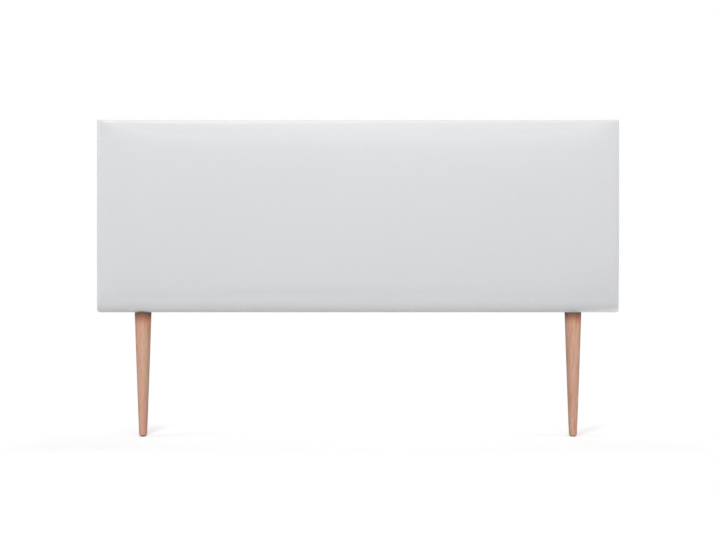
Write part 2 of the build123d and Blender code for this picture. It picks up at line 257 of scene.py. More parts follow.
def turned_rings(profile, centre, segments):
    """Rings round an upright axis, one for each (radius, height) of a profile."""
    angles = [2 * math.pi * step / segments for step in range(segments)]
    return [
        [
            Vector((centre.x + radius * math.cos(a), centre.y + radius * math.sin(a), height))
            for a in angles
        ]
        for radius, height in profile
    ]


def joined(solids):
    """Several solids as one list of points and one of faces."""
    points, faces = [], []
    for more_points, more_faces in solids:
        start = len(points)
        points += more_points
        faces += [tuple(start + index for index in face) for face in more_faces]
    return points, faces


def box_solid(low, high):
    """A box between two corners."""
    corners = [(low.x, low.z), (high.x, low.z), (high.x, high.z), (low.x, high.z)]
    return closed_rings([[Vector((x, y, z)) for x, z in corners] for y in (low.y, high.y)])


def linked(name, data):
    """A new object, linked to the scene."""
    made = bpy.data.objects.new(name, data)
    bpy.context.scene.collection.objects.link(made)
    return made


def mesh_of(name, solid, sharp_angle=SHARP_ANGLE):
    """A clean mesh from a solid's points and faces."""
    points, faces = solid
    mesh = bpy.data.meshes.new(name)
    mesh.from_pydata([tuple(point) for point in points], [], faces)
    tidy_mesh(mesh, sharp_angle)
    return mesh


def new_object(name, solid, material, sharp_angle=SHARP_ANGLE):
    """A piece of the part with its material and its body."""
    made = linked(name, mesh_of(name, solid, sharp_angle))
    made.data.materials.append(material)
    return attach(made, BODY)


def tidy_mesh(mesh, sharp_angle):
    """Joins doubled points, turns the faces outwards and smooths all but the sharp edges."""
    work = bmesh.new()
    work.from_mesh(mesh)
    bmesh.ops.remove_doubles(work, verts=work.verts, dist=JOIN_DISTANCE)
    bmesh.ops.recalc_face_normals(work, faces=work.faces)
    work.to_mesh(mesh)
    work.free()
    mesh.validate()
    mesh.polygons.foreach_set("use_smooth", [True] * len(mesh.polygons))
    mesh.set_sharp_from_angle(angle=math.radians(sharp_angle))


def apply_modifiers(obj):
    """Replaces an object's mesh by what its modifiers make of it."""
    bpy.context.view_layer.update()
    evaluated = obj.evaluated_get(bpy.context.evaluated_depsgraph_get())
    mesh = bpy.data.meshes.new_from_object(evaluated)
    obj.modifiers.clear()
    old = obj.data
    obj.data = mesh
    bpy.data.meshes.remove(old)


def cut_away(obj, solids):
    """Takes closed solids out of a closed mesh."""
    cutter = linked("cutter", mesh_of("cutter", joined(solids)))
    cut = obj.modifiers.new("cut", "BOOLEAN")
    cut.operation = "DIFFERENCE"
    cut.solver = "MANIFOLD"
    cut.object = cutter
    apply_modifiers(obj)
    obj.data.set_sharp_from_angle(angle=math.radians(SHARP_ANGLE))
    bpy.data.objects.remove(cutter)


def axis_of(node):
    """The middle of a node's box."""
    low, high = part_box(node)
    return (low + high) / 2


# Materials


def start_material(name):
    """An empty node material with its shader, and the object's own coordinates."""
    made = bpy.data.materials.new(name)
    made.use_nodes = True
    tree = made.node_tree
    shader = tree.nodes["Principled BSDF"]
    return made, tree, shader, add(tree, "ShaderNodeTexCoord").outputs["Object"]


def feed(tree, target, value):
    """Links a socket to an input, or sets the input to a value."""
    if isinstance(value, bpy.types.NodeSocket):
        tree.links.new(value, target)
    else:
        target.default_value = value


def add(tree, kind, inputs=None, **settings):
    """Adds a node. An input is a value, or the socket that feeds it."""
    made = tree.nodes.new(kind)
    for key, value in settings.items():
        setattr(made, key, value)
    for key, value in (inputs or {}).items():
        feed(tree, made.inputs[key], value)
    return made


def stretched(tree, coords, scale, turn=(0, 0, 0)):
    """Coordinates scaled apart along each axis."""
    inputs = {"Vector": coords, "Scale": scale, "Rotation": turn}
    return add(tree, "ShaderNodeMapping", inputs).outputs["Vector"]


def noise_at(tree, coords, scale, detail=3.0, roughness=0.5, distortion=0.0):
    """Noise from 0 to 1 over the coordinates."""
    inputs = {"Vector": coords, "Scale": scale, "Detail": detail}
    inputs |= {"Roughness": roughness, "Distortion": distortion}
    return add(tree, "ShaderNodeTexNoise", inputs).outputs["Fac"]


def ramp(tree, factor, *stops):
    """A colour ramp through (position, colour) stops."""
    made = add(tree, "ShaderNodeValToRGB", {"Fac": factor})
    elements = made.color_ramp.elements
    while len(elements) < len(stops):
        elements.new(0.5)
    for element, (position, colour) in zip(elements, stops):
        element.position = position
        element.color = (*colour, 1)
    return made.outputs["Color"]


def mixed(tree, factor, first, second, blend="MIX"):
    """Two colours mixed, each a colour or a socket."""
    made = add(tree, "ShaderNodeMix", data_type="RGBA", blend_type=blend)
    for index, value in ((0, factor), (6, first), (7, second)):
        feed(tree, made.inputs[index], (*value, 1) if isinstance(value, tuple) else value)
    return made.outputs[2]


def math_node(tree, operation, first, second=0.0):
    """A sum, product or other result of two values or sockets."""
    made = add(tree, "ShaderNodeMath", {0: first, 1: second}, operation=operation)
    return made.outputs[0]


def spread(tree, value, low=0.0, high=1.0, start=0.0, end=1.0, **settings):
    """Maps what lies from start to end to a range from low to high."""
    inputs = {"Value": value, "From Min": start, "From Max": end, "To Min": low, "To Max": high}
    return add(tree, "ShaderNodeMapRange", inputs, **settings).outputs["Result"]


def bump(tree, height, distance, strength=1.0, normal=None):
    """A normal bumped by a height, on top of another normal if one is given."""
    inputs = {"Height": height, "Distance": distance, "Strength": strength}
    if normal is not None:
        inputs["Normal"] = normal
    return add(tree, "ShaderNodeBump", inputs).outputs["Normal"]


def connect(tree, shader, **sockets):
    """Feeds the shader's sockets, named with underscores for spaces."""
    for key, value in sockets.items():
        feed(tree, shader.inputs[key.replace("_", " ")], value)


def srgb(red, green, blue):
    """A colour given by its 8-bit display values, as linear light."""

    def linear(value):
        """One display value as linear light."""
        value /= 255
        return value / 12.92 if value <= 0.04045 else ((value + 0.055) / 1.055) ** 2.4

    return tuple(linear(value) for value in (red, green, blue))


def leatherette():
    """Pale grey-white artificial leather: a fine pebble grain with painted shade in its creases, and
    a soft satin gloss.
    """
    made, tree, shader, coords = start_material("leatherette")
    cloudy = noise_at(tree, coords, 3.0, 2.0)
    colour = mixed(tree, cloudy, srgb(215, 216, 218), srgb(218, 219, 221))
    pebbles = add(
        tree,
        "ShaderNodeTexVoronoi",
        {"Vector": coords, "Scale": 620.0, "Smoothness": 0.6, "Randomness": 0.9},
        feature="SMOOTH_F1",
    ).outputs["Distance"]
    # Painted shade: the creases between the pebbles are darker
    painted_crease_shade = ramp(tree, pebbles, (0.3, (0, 0, 0)), (0.75, (1, 1, 1)))
    colour = mixed(tree, math_node(tree, "MULTIPLY", painted_crease_shade, 0.25), colour, srgb(196, 197, 200))
    pores = noise_at(tree, coords, 2200.0, 2.0)
    grain = bump(tree, pebbles, 0.00012, 0.5)
    grain = bump(tree, pores, 0.00003, 0.5, grain)
    rough = spread(tree, noise_at(tree, coords, 14.0, 3.0), 0.4, 0.47)
    connect(tree, shader, Base_Color=colour, Roughness=rough, Normal=grain)
    connect(tree, shader, Specular_IOR_Level=0.4, Coat_Weight=0.06, Coat_Roughness=0.35)
    return made


def darkened(tree, colour, shade, strength=1.0):
    """A colour multiplied by a shade."""
    return mixed(tree, strength, colour, shade, "MULTIPLY")


def turned_wood():
    """Pale pinkish hardwood with long fine grain, with painted shade on its sides and towards the
    panel.
    """
    made, tree, shader, coords = start_material("leg_wood")
    drift = stretched(tree, coords, (1.0, 1.0, 0.07))
    broad = noise_at(tree, drift, 150.0, 2.0, 0.55, 0.5)
    tone = ramp(
        tree,
        broad,
        (0.3, srgb(208, 148, 122)),
        (0.42, srgb(224, 179, 158)),
        (0.5, srgb(214, 187, 158)),
        (0.58, srgb(218, 166, 142)),
        (0.7, srgb(190, 159, 128)),
    )
    warm = noise_at(tree, stretched(tree, coords, (1.0, 1.0, 0.1), (0.05, 0.03, 0)), 60.0, 1.0)
    pinkish = math_node(tree, "MULTIPLY", ramp(tree, warm, (0.45, (0, 0, 0)), (0.6, (1, 1, 1))), 0.5)
    tone = mixed(tree, pinkish, tone, srgb(220, 162, 146))
    lines = noise_at(tree, stretched(tree, coords, (1.0, 1.0, 0.02)), 520.0, 4.0, 0.65, 0.4)
    dark_lines = ramp(tree, lines, (0.42, (1, 1, 1)), (0.62, (0, 0, 0)))
    tone = mixed(tree, math_node(tree, "MULTIPLY", dark_lines, 0.25), tone, srgb(176, 128, 98))
    flecks = noise_at(tree, stretched(tree, coords, (1.0, 1.0, 0.06)), 1500.0, 2.0, 0.7)
    fleck_mask = ramp(tree, flecks, (0.6, (0, 0, 0)), (0.72, (1, 1, 1)))
    tone = mixed(tree, math_node(tree, "MULTIPLY", fleck_mask, 0.3), tone, srgb(156, 108, 80))
    # Painted shade: the wood darkens towards the panel, where the panel's contact shadow falls
    height = add(tree, "ShaderNodeSeparateXYZ", {"Vector": coords}).outputs["Z"]
    under = spread(tree, height, start=PANEL_LOW.z - PAINTED_SHADE_DEPTH, end=PANEL_LOW.z)
    tone = darkened(tree, tone, ramp(tree, under, *PAINTED_CONTACT_SHADE))
    # Painted shade: the sides that face left and right are darker
    facing = add(tree, "ShaderNodeTexCoord").outputs["Normal"]
    sideways = add(tree, "ShaderNodeSeparateXYZ", {"Vector": facing}).outputs["X"]
    side = math_node(tree, "MULTIPLY", sideways, sideways)
    tone = darkened(tree, tone, mixed(tree, side, (1, 1, 1), PAINTED_SIDE_SHADE))
    rough = spread(tree, lines, 0.45, 0.6)
    normal = bump(tree, lines, 0.00006, 0.4)
    connect(tree, shader, Base_Color=tone, Roughness=rough, Normal=normal, Specular_IOR_Level=0.15)
    return made


def pine(along):
    """Sawn pine, with its grain along X or Z."""
    made, tree, shader, coords = start_material("pine_" + along)
    scale = (0.04, 1.0, 1.0) if along == "x" else (1.0, 1.0, 0.04)
    grain = stretched(tree, coords, scale)
    rings = noise_at(tree, grain, 60.0, 3.0, 0.5, 0.8)
    tone = ramp(
        tree,
        rings,
        (0.3, srgb(226, 192, 140)),
        (0.5, srgb(214, 174, 118)),
        (0.58, srgb(188, 138, 84)),
        (0.66, srgb(218, 180, 126)),
    )
    fibres = noise_at(tree, grain, 700.0, 3.0, 0.6)
    tone = mixed(tree, spread(tree, fibres, 0.0, 0.35), tone, srgb(186, 146, 96))
    connect(tree, shader, Base_Color=tone, Roughness=spread(tree, fibres, 0.7, 0.85))
    connect(tree, shader, Normal=bump(tree, fibres, 0.0002, 0.6))
    return made


def mottled(name, grain, tones, rough, relief=None, metallic=0.0):
    """A material whose colour, roughness and bump all follow one fine noise."""
    made, tree, shader, coords = start_material(name)
    pattern = noise_at(tree, coords, *grain)
    tone = mixed(tree, pattern, srgb(*tones[0]), srgb(*tones[1]))
    connect(tree, shader, Base_Color=tone, Metallic=metallic)
    connect(tree, shader, Roughness=spread(tree, pattern, *rough))
    if relief:
        connect(tree, shader, Normal=bump(tree, pattern, *relief))
    return made


def hardboard():
    """Pressed brown fibreboard."""
    tones = ((122, 86, 56), (160, 120, 84))
    return mottled("hardboard", (420.0, 5.0, 0.7, 1.2), tones, (0.6, 0.8), (0.00015, 0.5))


def open_foam():
    """Pale yellow polyurethane foam with open cells."""
    made, tree, shader, coords = start_material("foam")
    inputs = {"Vector": coords, "Scale": 900.0}
    cells = add(tree, "ShaderNodeTexVoronoi", inputs).outputs["Distance"]
    tone = mixed(tree, cells, srgb(232, 224, 190), srgb(214, 203, 160))
    connect(tree, shader, Base_Color=tone, Roughness=spread(tree, cells, 0.85, 1.0))
    connect(tree, shader, Normal=bump(tree, cells, 0.0004, 0.8))
    return made


def spunbond():
    """Black non-woven lining with its pressed dots and stray fibres."""
    made, tree, shader, coords = start_material("fibre_cloth")
    inputs = {"Vector": coords, "Scale": 700.0, "Randomness": 0.15}
    dots = add(tree, "ShaderNodeTexVoronoi", inputs).outputs["Distance"]
    fibres = noise_at(tree, coords, 1300.0, 4.0, 0.7, 2.5)
    tone = mixed(tree, fibres, srgb(24, 24, 26), srgb(52, 52, 55))
    pressed = ramp(tree, dots, (0.18, (1, 1, 1)), (0.34, (0, 0, 0)))
    tone = mixed(tree, math_node(tree, "MULTIPLY", pressed, 0.5), tone, srgb(14, 14, 15))
    normal = bump(tree, dots, 0.0002, 0.5)
    normal = bump(tree, fibres, 0.0001, 0.6, normal)
    connect(tree, shader, Base_Color=tone, Normal=normal, Sheen_Weight=0.15)
    connect(tree, shader, Roughness=spread(tree, fibres, 0.8, 0.95))
    return made


def zinc_plated():
    """Bright zinc-plated steel with faint rolling marks and mottling."""
    made, tree, shader, coords = start_material("zinc_steel")
    marks = noise_at(tree, stretched(tree, coords, (0.08, 1.0, 1.0)), 900.0, 3.0)
    mottle = noise_at(tree, coords, 160.0, 3.0, 0.6)
    tone = mixed(tree, mottle, srgb(206, 206, 203), srgb(182, 184, 186))
    connect(tree, shader, Base_Color=tone, Metallic=1.0, Normal=bump(tree, marks, 0.00003, 0.4))
    connect(tree, shader, Roughness=spread(tree, marks, 0.28, 0.44))
    return made


def yellow_passivated():
    """Yellow zinc on the threaded inserts."""
    tones = ((206, 182, 116), (180, 162, 112))
    return mottled("insert_metal", (240.0, 3.0, 0.6), tones, (0.3, 0.45), metallic=1.0)


def dark_plastic():
    """Moulded dark brown plastic."""
    tones = ((96, 66, 52), (112, 80, 66))
    return mottled("glide_plastic", (1100.0, 3.0), tones, (0.42, 0.58), (0.00004, 0.5))


# The upholstery


def roll_distances(reach):
    """Distances over a rolled edge, evenly spaced round its curve."""
    angles = [math.pi / 2 * step / ROLL_STEPS for step in range(ROLL_STEPS)]
    return [reach * (1 - math.cos(angle)) for angle in angles]


def places_across(span, low_edge, high_edge):
    """Places from one edge to the other: fine over each roll, then in even steps."""
    low, high = low_edge["reach"], span - high_edge["reach"]
    middle = list(np.linspace(low, high, math.ceil((high - low) / GRID_STEP) + 1))
    far_roll = [span - distance for distance in reversed(roll_distances(high_edge["reach"]))]
    return np.array(roll_distances(low) + middle + far_roll)


def narrowed(edge, inset):
    """An edge's form, for a layer that lies inset inside the cover."""
    return dict(edge, reach=edge["reach"] - inset, depth=edge["depth"] - inset)


def roll_at(distance, edge, tightness=1.0):
    """How far the front has rolled over at a distance from one edge."""
    over = np.clip(1 - distance / edge["reach"], 0, 1)
    return edge["depth"] * (1 - np.sqrt(1 - over**2)) ** tightness


def fall_at(distance, edge):
    """How far the front falls away towards one edge, before it rolls over."""
    return edge["fall"] * np.exp(-distance / edge["fade"])


def rounded_corner(x, z, half_width, half_height):
    """Moves a point of the square-cornered outline on to the one with rounded corners."""
    radius = np.where(z > 0, TOP_CORNER_RADIUS, BOTTOM_CORNER_RADIUS)
    over_x = np.maximum(np.abs(x) - (half_width - radius), 0)
    over_z = np.maximum(np.abs(z) - (half_height - radius), 0)
    reach = np.hypot(over_x, over_z)
    scale = np.where(reach > 0, np.maximum(over_x, over_z) / np.maximum(reach, 1e-9), 1)
    return x - np.sign(x) * over_x * (1 - scale), z - np.sign(z) * over_z * (1 - scale)


def corner_slack(x, z, half_width, half_height):
    """How much further back the slightly slack leather lies at the lower right corner."""
    past = 1 - (half_width - x) / SLACK_WIDTH - (half_height + z) / SLACK_HEIGHT
    return SLACK_DEPTH * (past + np.hypot(past, SLACK_SOFTNESS)) / 2


def soft_grid(inset):
    """The rolled front of the panel as a grid of points, taken in by inset."""
    half_width = PANEL_WIDTH / 2 - inset
    half_height = PANEL_HEIGHT / 2 - inset
    side, top, bottom = [narrowed(edge, inset) for edge in (SIDE_EDGE, TOP_EDGE, BOTTOM_EDGE)]
    across = places_across(2 * half_width, side, side)
    up = places_across(2 * half_height, bottom, top)
    from_side = np.minimum(across, across[-1] - across)[:, None]
    side_drop = roll_at(from_side, side) + fall_at(from_side, side)
    low_drop = roll_at(up, bottom) + fall_at(up, bottom)
    fullness = 1 - np.exp(-from_side / TOP_CORNER_FADE)
    tightness = 1 + CORNER_TIGHTNESS * (1 - fullness)
    high_drop = roll_at(up[-1] - up, top, tightness) + fall_at(up[-1] - up, top) * fullness
    power = CORNER_POWER
    drop = (side_drop**power + (low_drop + high_drop) ** power) ** (1 / power)
    x, z = np.meshgrid(across - half_width, up - half_height, indexing="ij")
    swell = (1 - (x / half_width) ** 4) * (1 - (z / half_height) ** 4)
    drop += corner_slack(x, z, half_width, half_height)
    y = PANEL_LOW.y + inset + drop - CROWN_RISE * swell
    y = np.minimum(y, BOARD_FRONT - COVER_THICKNESS - BOARD_CLEARANCE + inset)
    x, z = rounded_corner(x, z, half_width, half_height)
    return x, y, z + PANEL_MIDDLE


def grid_border(rows, columns):
    """The (row, column) pairs round a grid's border, in order."""
    last_row, last_column = rows - 1, columns - 1
    border = [(row, 0) for row in range(last_row)]
    border += [(last_row, column) for column in range(last_column)]
    border += [(row, last_column) for row in range(last_row, 0, -1)]
    border += [(0, column) for column in range(last_column, 0, -1)]
    return border


class Skin:
    """A sheet of points that starts as a grid and grows ring by ring from its border."""

    def __init__(self, x, y, z):
        """Starts from grids of the points' coordinates."""
        rows, columns = x.shape
        self.points = [Vector(p) for p in zip(x.ravel(), y.ravel(), z.ravel())]
        corners = [row * columns + column for row in range(rows - 1) for column in range(columns - 1)]
        self.faces = [(at, at + columns, at + columns + 1, at + 1) for at in corners]
        self.ring = [row * columns + column for row, column in grid_border(rows, columns)]

    def grow(self, places):
        """Adds a ring of points outside the last one."""
        start = len(self.points)
        self.points += places
        ring = list(range(start, len(self.points)))
        for index, low in enumerate(self.ring):
            after = (index + 1) % len(ring)
            self.faces.append((low, ring[index], ring[after], self.ring[after]))
        self.ring = ring

    def ring_points(self):
        """The points of the last ring."""
        return [self.points[index] for index in self.ring]

    def close(self):
        """Closes the last ring with one face."""
        self.faces.append(tuple(self.ring))

    def solid(self):
        """The points and faces so far."""
        return self.points, self.faces


def grow_walls(skin, y_back, steps):
    """Side walls from the border straight back to a plane."""
    start = skin.ring_points()
    for step in range(1, steps + 1):
        share = step / steps
        skin.grow([Vector((p.x, p.y + (y_back - p.y) * share, p.z)) for p in start])


def drawn_in(points, inset, y, size):
    """A ring's points scaled in so that its sides lie inset from where they were."""
    in_x, in_z = 1 - 2 * inset / size[0], 1 - 2 * inset / size[1]
    return [Vector((p.x * in_x, y, PANEL_MIDDLE + (p.z - PANEL_MIDDLE) * in_z)) for p in points]


def cover_skin():
    """The cover's outside: front, side walls, rounded back edge and turned-over flange."""
    size = (PANEL_WIDTH, PANEL_HEIGHT)
    skin = Skin(*soft_grid(0))
    grow_walls(skin, FLANGE_BACK - BACK_EDGE_RADIUS, WALL_STEPS)
    edge = skin.ring_points()
    for step in range(1, BACK_EDGE_STEPS + 1):
        angle = math.pi / 2 * step / BACK_EDGE_STEPS
        inset = BACK_EDGE_RADIUS * (1 - math.cos(angle))
        y = FLANGE_BACK - BACK_EDGE_RADIUS * (1 - math.sin(angle))
        skin.grow(drawn_in(edge, inset, y, size))
    for step in range(1, FLANGE_STEPS + 1):
        inset = BACK_EDGE_RADIUS + (FLANGE_WIDTH - BACK_EDGE_RADIUS) * step / FLANGE_STEPS
        skin.grow(drawn_in(edge, inset, FLANGE_BACK, size))
    return skin


def swell_by_simulation(obj, free):
    """Blows the cover up a little as cloth, with everything but its soft front held."""
    start = np.array([v.co for v in obj.data.vertices])
    outwards = np.array([v.normal for v in obj.data.vertices])
    held = obj.vertex_groups.new(name="held")
    for index, weight in enumerate(1 - free):
        held.add([index], float(weight), "REPLACE")
    cloth = obj.modifiers.new("swell", "CLOTH")
    settings = cloth.settings
    settings.vertex_group_mass = "held"
    settings.use_pressure = True
    settings.uniform_pressure_force = SWELL_PRESSURE
    for kind, stiffness in SWELL_STIFFNESS.items():
        setattr(settings, f"{kind}_stiffness", stiffness)
    settings.effector_weights.gravity = 0
    settings.quality = SWELL_QUALITY
    for step in range(1, SWELL_FRAMES + 1):
        bpy.context.scene.frame_set(step)
    apply_modifiers(obj)
    bpy.context.scene.frame_set(1)
    obj.vertex_groups.clear()
    moved = np.array([v.co for v in obj.data.vertices]) - start
    swell = np.clip((moved * outwards).sum(axis=1, keepdims=True), 0, SWELL_CAP)
    obj.data.vertices.foreach_set("co", (start + outwards * swell).ravel())
    obj.data.update()


def cover_openings():
    """Windows in the cover behind the keyhole plates, and holes round the leg bolts."""
    cutters = []
    for side in SIDES:
        low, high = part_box(f"{side}_keyhole_plate")
        lap = Vector((PLATE_LAP, PLATE_CUT, PLATE_LAP))
        cutters.append(box_solid(low + lap * Vector((1, -1, 1)), high - lap * Vector((1, 0, 1))))
        radius = BOLT_RADIUS + BOLT_HOLE_CLEARANCE
        profile = [(radius, PANEL_LOW.z + end * BOLT_CUT) for end in (-1, 1)]
        cutters.append(closed_rings(turned_rings(profile, axis_of(f"{side}_leg"), BUSH_SEGMENTS)))
    return cutters


def make_cover(material):
    """The leather cover as a real shell, swelled by simulation and turned over at the back."""
    skin = cover_skin()
    cover = new_object("leather_cover", skin.solid(), material)
    y = np.array([v.co.y for v in cover.data.vertices])
    swell_by_simulation(cover, np.clip((BOARD_FRONT - y) / SWELL_FREE_DEPTH, 0, 1))
    smooth = cover.modifiers.new("smooth", "SUBSURF")
    smooth.levels = smooth.render_levels = 1
    shell = cover.modifiers.new("shell", "SOLIDIFY")
    shell.thickness = COVER_THICKNESS
    shell.offset = -1
    apply_modifiers(cover)
    cut_away(cover, cover_openings())
    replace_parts(cover, "cover")
    return cover


def rim_place(along, radius):
    """A point on a folded corner's rim, as distances in from the panel's two edges."""
    shares = (1 - 2 * along, 2 * along - 1)
    places = [FOLD_INSET + FOLD_REACH * max(0, share) for share in shares]
    over = [max(0, radius - place) for place in places]
    if min(over) > 0:
        scale = max(over) / math.hypot(*over)
        places = [radius - part * scale for part in over]
    return Vector(places)


def crease_place(along):
    """A point on a folded corner's crease, as distances in from the panel's two edges."""
    return Vector((FOLD_INSET + FOLD_REACH * (1 - along), FOLD_INSET + FOLD_REACH * along))


def rounded_rise(distance):
    """How far a rounded fold has risen, from 0 to 1, at a distance from its edge."""
    over = 1 - min(distance / FOLD_ROUNDING, 1)
    return math.sqrt(1 - over**2)


def fold_height(along, across, width):
    """The folded corner's height over the flange, with its small pleats."""
    rise = rounded_rise(across * width) * rounded_rise((1 - across) * width)
    pleats = sum(math.exp(-(((along - place) / PLEAT_WIDTH) ** 2)) for place in PLEAT_PLACES)
    return rise * (FOLD_THICKNESS - PLEAT_DEPTH * pleats * (1 - across) ** PLEAT_FADE)


def corner_fold(side, level):
    """The cover's spare leather at a corner of the back, folded in as a flat flap."""
    radius = TOP_CORNER_RADIUS if level > 0 else BOTTOM_CORNER_RADIUS
    alongs = [0, 0.01, 0.03, *np.linspace(0.06, 0.34, 12), *np.linspace(0.36, 0.64, 57)]
    alongs += [*np.linspace(0.66, 0.94, 12), 0.97, 0.99, 1]
    acrosses = [0, 0.006, 0.018, 0.04, 0.08, *np.linspace(0.15, 0.85, 9)]
    acrosses += [0.92, 0.96, 0.982, 0.994, 1]
    grid = np.zeros((3, len(alongs), len(acrosses)))
    for row, along in enumerate(alongs):
        rim, crease = rim_place(along, radius), crease_place(along)
        width = (crease - rim).length
        for column, across in enumerate(acrosses):
            in_x, in_z = rim.lerp(crease, across)
            grid[0, row, column] = side * (PANEL_WIDTH / 2 - in_x)
            grid[1, row, column] = FLANGE_BACK + fold_height(along, across, width)
            grid[2, row, column] = PANEL_MIDDLE + level * (PANEL_HEIGHT / 2 - in_z)
    skin = Skin(*grid)
    grow_walls(skin, FLANGE_BACK - COVER_THICKNESS / 2, 1)
    skin.close()
    return skin.solid()


def make_corner_folds(material):
    """The four folded corners as one piece."""
    folds = [corner_fold(side, level) for side in (-1, 1) for level in (-1, 1)]
    return new_object("corner_folds", joined(folds), material, SOFT_SHARP_ANGLE)


def make_foam(material):
    """The foam pad under the cover, closed at the board."""
    x, y, z = soft_grid(COVER_THICKNESS + FOAM_GAP)
    skin = Skin(x, np.minimum(y, BOARD_FRONT - FOAM_LEAST), z)
    grow_walls(skin, BOARD_FRONT, 2)
    skin.close()
    foam = new_object("foam_core", skin.solid(), material)
    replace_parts(foam, "foam_pad")


# The back cloth and its staples


def cloth_places(span):
    """Places across the cloth: fine at its hems, then in even steps."""
    near = [distance * MM for distance in CLOTH_EDGE_PLACES_MM]
    count = math.ceil((span - 2 * near[-1]) / CLOTH_STEP)
    middle = list(np.linspace(near[-1], span - near[-1], count + 1))
    return np.array(near[:-1] + middle + [span - distance for distance in reversed(near[:-1])])


def cloth_sag(x, z, inset):
    """How far the stretched cloth has gone in between its staples, as soft uneven ripples."""
    broad = 0.5 + 0.5 * noise.noise(Vector((x * 3, z * 3, 7)))
    pulls = noise.noise(Vector((x * 14, z * 14, 3)))
    held = 1 - math.exp(-inset / SAG_FADE)
    return CLOTH_SAG * held * (broad + 0.25 * pulls * math.exp(-inset / PULL_FADE))


def make_back_cloth(material):
    """The cloth that closes the back, with its hem turned under all round."""
    low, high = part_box("back_cloth")
    size = (high.x - low.x, high.z - low.z)
    across, up = cloth_places(size[0]), cloth_places(size[1])
    x, z = np.meshgrid(across + low.x, up + low.z, indexing="ij")
    inset_x = np.minimum(across, across[-1] - across)[:, None]
    inset = np.minimum(inset_x, np.minimum(up, up[-1] - up)[None, :])
    hem = np.clip((HEM_WIDTH + HEM_SLOPE / 3 - inset) / HEM_SLOPE, 0, 1)
    sag = np.vectorize(cloth_sag)(x, z, np.maximum(inset - HEM_WIDTH, 0))
    laid = FLANGE_BACK + CLOTH_LAYER / 2
    skin = Skin(x, laid + CLOTH_LAYER * hem - sag, z)
    edge = skin.ring_points()
    skin.grow(drawn_in(edge, -CLOTH_LAYER / 4, laid + CLOTH_LAYER / 2, size))
    for turned_in in (0, HEM_WIDTH / 2, HEM_WIDTH - HEM_SLOPE):
        skin.grow(drawn_in(edge, turned_in, laid, size))
    cloth = new_object("lining_cloth", skin.solid(), material, SOFT_SHARP_ANGLE)
    body = cloth.modifiers.new("body", "SOLIDIFY")
    body.thickness = CLOTH_THICKNESS
    body.offset = 0
    apply_modifiers(cloth)
    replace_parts(cloth, "back_cloth")


def staple(x, y, z, angle):
    """A driven staple: a flat crown with two legs bent down from it."""
    bend = list(STAPLE_OUTLINE_MM)
    bend += [((-a, b), (-c, d)) for (a, b), (c, d) in reversed(STAPLE_OUTLINE_MM)]
    edges = (-STAPLE_WIDTH / 2, STAPLE_WIDTH / 2)
    cos, sin = math.cos(angle), math.sin(angle)
    rings = []
    for outer, inner in bend:
        corners = [(outer, edges[0]), (outer, edges[1]), (inner, edges[1]), (inner, edges[0])]
        ring = []
        for (along, rise), across in corners:
            along, rise = along * MM, rise * MM
            turned = (along * cos - across * sin, rise, along * sin + across * cos)
            ring.append(Vector((x, y, z)) + Vector(turned))
        rings.append(ring)
    return closed_rings(rings)


def hem_staple_places(luck):
    """Along the middle of the cloth's hem, a little uneven."""
    low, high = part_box("back_cloth")
    half = HEM_WIDTH / 2
    y = FLANGE_BACK + 2 * CLOTH_LAYER - 0.05 * MM
    places = []
    for horizontal in (True, False):
        span = (high.x - low.x if horizontal else high.z - low.z) - 2 * STAPLE_MARGIN
        count = round(span / STAPLE_PITCH)
        for step in range(count + 1):
            for far in (False, True):
                along = STAPLE_MARGIN + span * step / count
                along += luck.uniform(-STAPLE_DRIFT_MM, STAPLE_DRIFT_MM) * MM
                off = half + luck.uniform(-STAPLE_WANDER_MM, STAPLE_WANDER_MM) * MM
                tilt = luck.uniform(-STAPLE_TILT, STAPLE_TILT)
                if horizontal:
                    z = high.z - off if far else low.z + off
                    places.append((low.x + along, y, z, tilt))
                else:
                    x = high.x - off if far else low.x + off
                    places.append((x, y, low.z + along, tilt + math.pi / 2))
    return places


def fold_staple_places(luck):
    """Three across each folded corner, beside its crease."""
    places = []
    for side in (-1, 1):
        for level in (-1, 1):
            for share in FOLD_STAPLE_SHARES:
                in_x, in_z = crease_place(share) - Vector((FOLD_STAPLE_INSET, FOLD_STAPLE_INSET))
                x = side * (PANEL_WIDTH / 2 - in_x)
                z = PANEL_MIDDLE + level * (PANEL_HEIGHT / 2 - in_z)
                tilt = luck.uniform(-FOLD_STAPLE_TILT, FOLD_STAPLE_TILT)
                angle = -side * level * math.pi / 4 + tilt
                places.append((x, FLANGE_BACK + FOLD_THICKNESS - 0.1 * MM, z, angle))
    return places


def make_staples(material):
    """All the staples on the back as one piece."""
    luck = random.Random(STAPLE_SEED)
    places = hem_staple_places(luck) + fold_staple_places(luck)
    staples = [staple(*place) for place in places]
    return new_object("back_staples", joined(staples), material, METAL_SHARP_ANGLE)


# Legs and fittings


def rounded_bottom(radius, height, edge):
    """Profile points round a lower rim, from its flat underside to its side."""
    angles = [math.pi / 2 * step / 6 for step in range(7)]
    return [
        (radius - edge + edge * math.sin(angle), height + edge - edge * math.cos(angle))
        for angle in angles
    ]


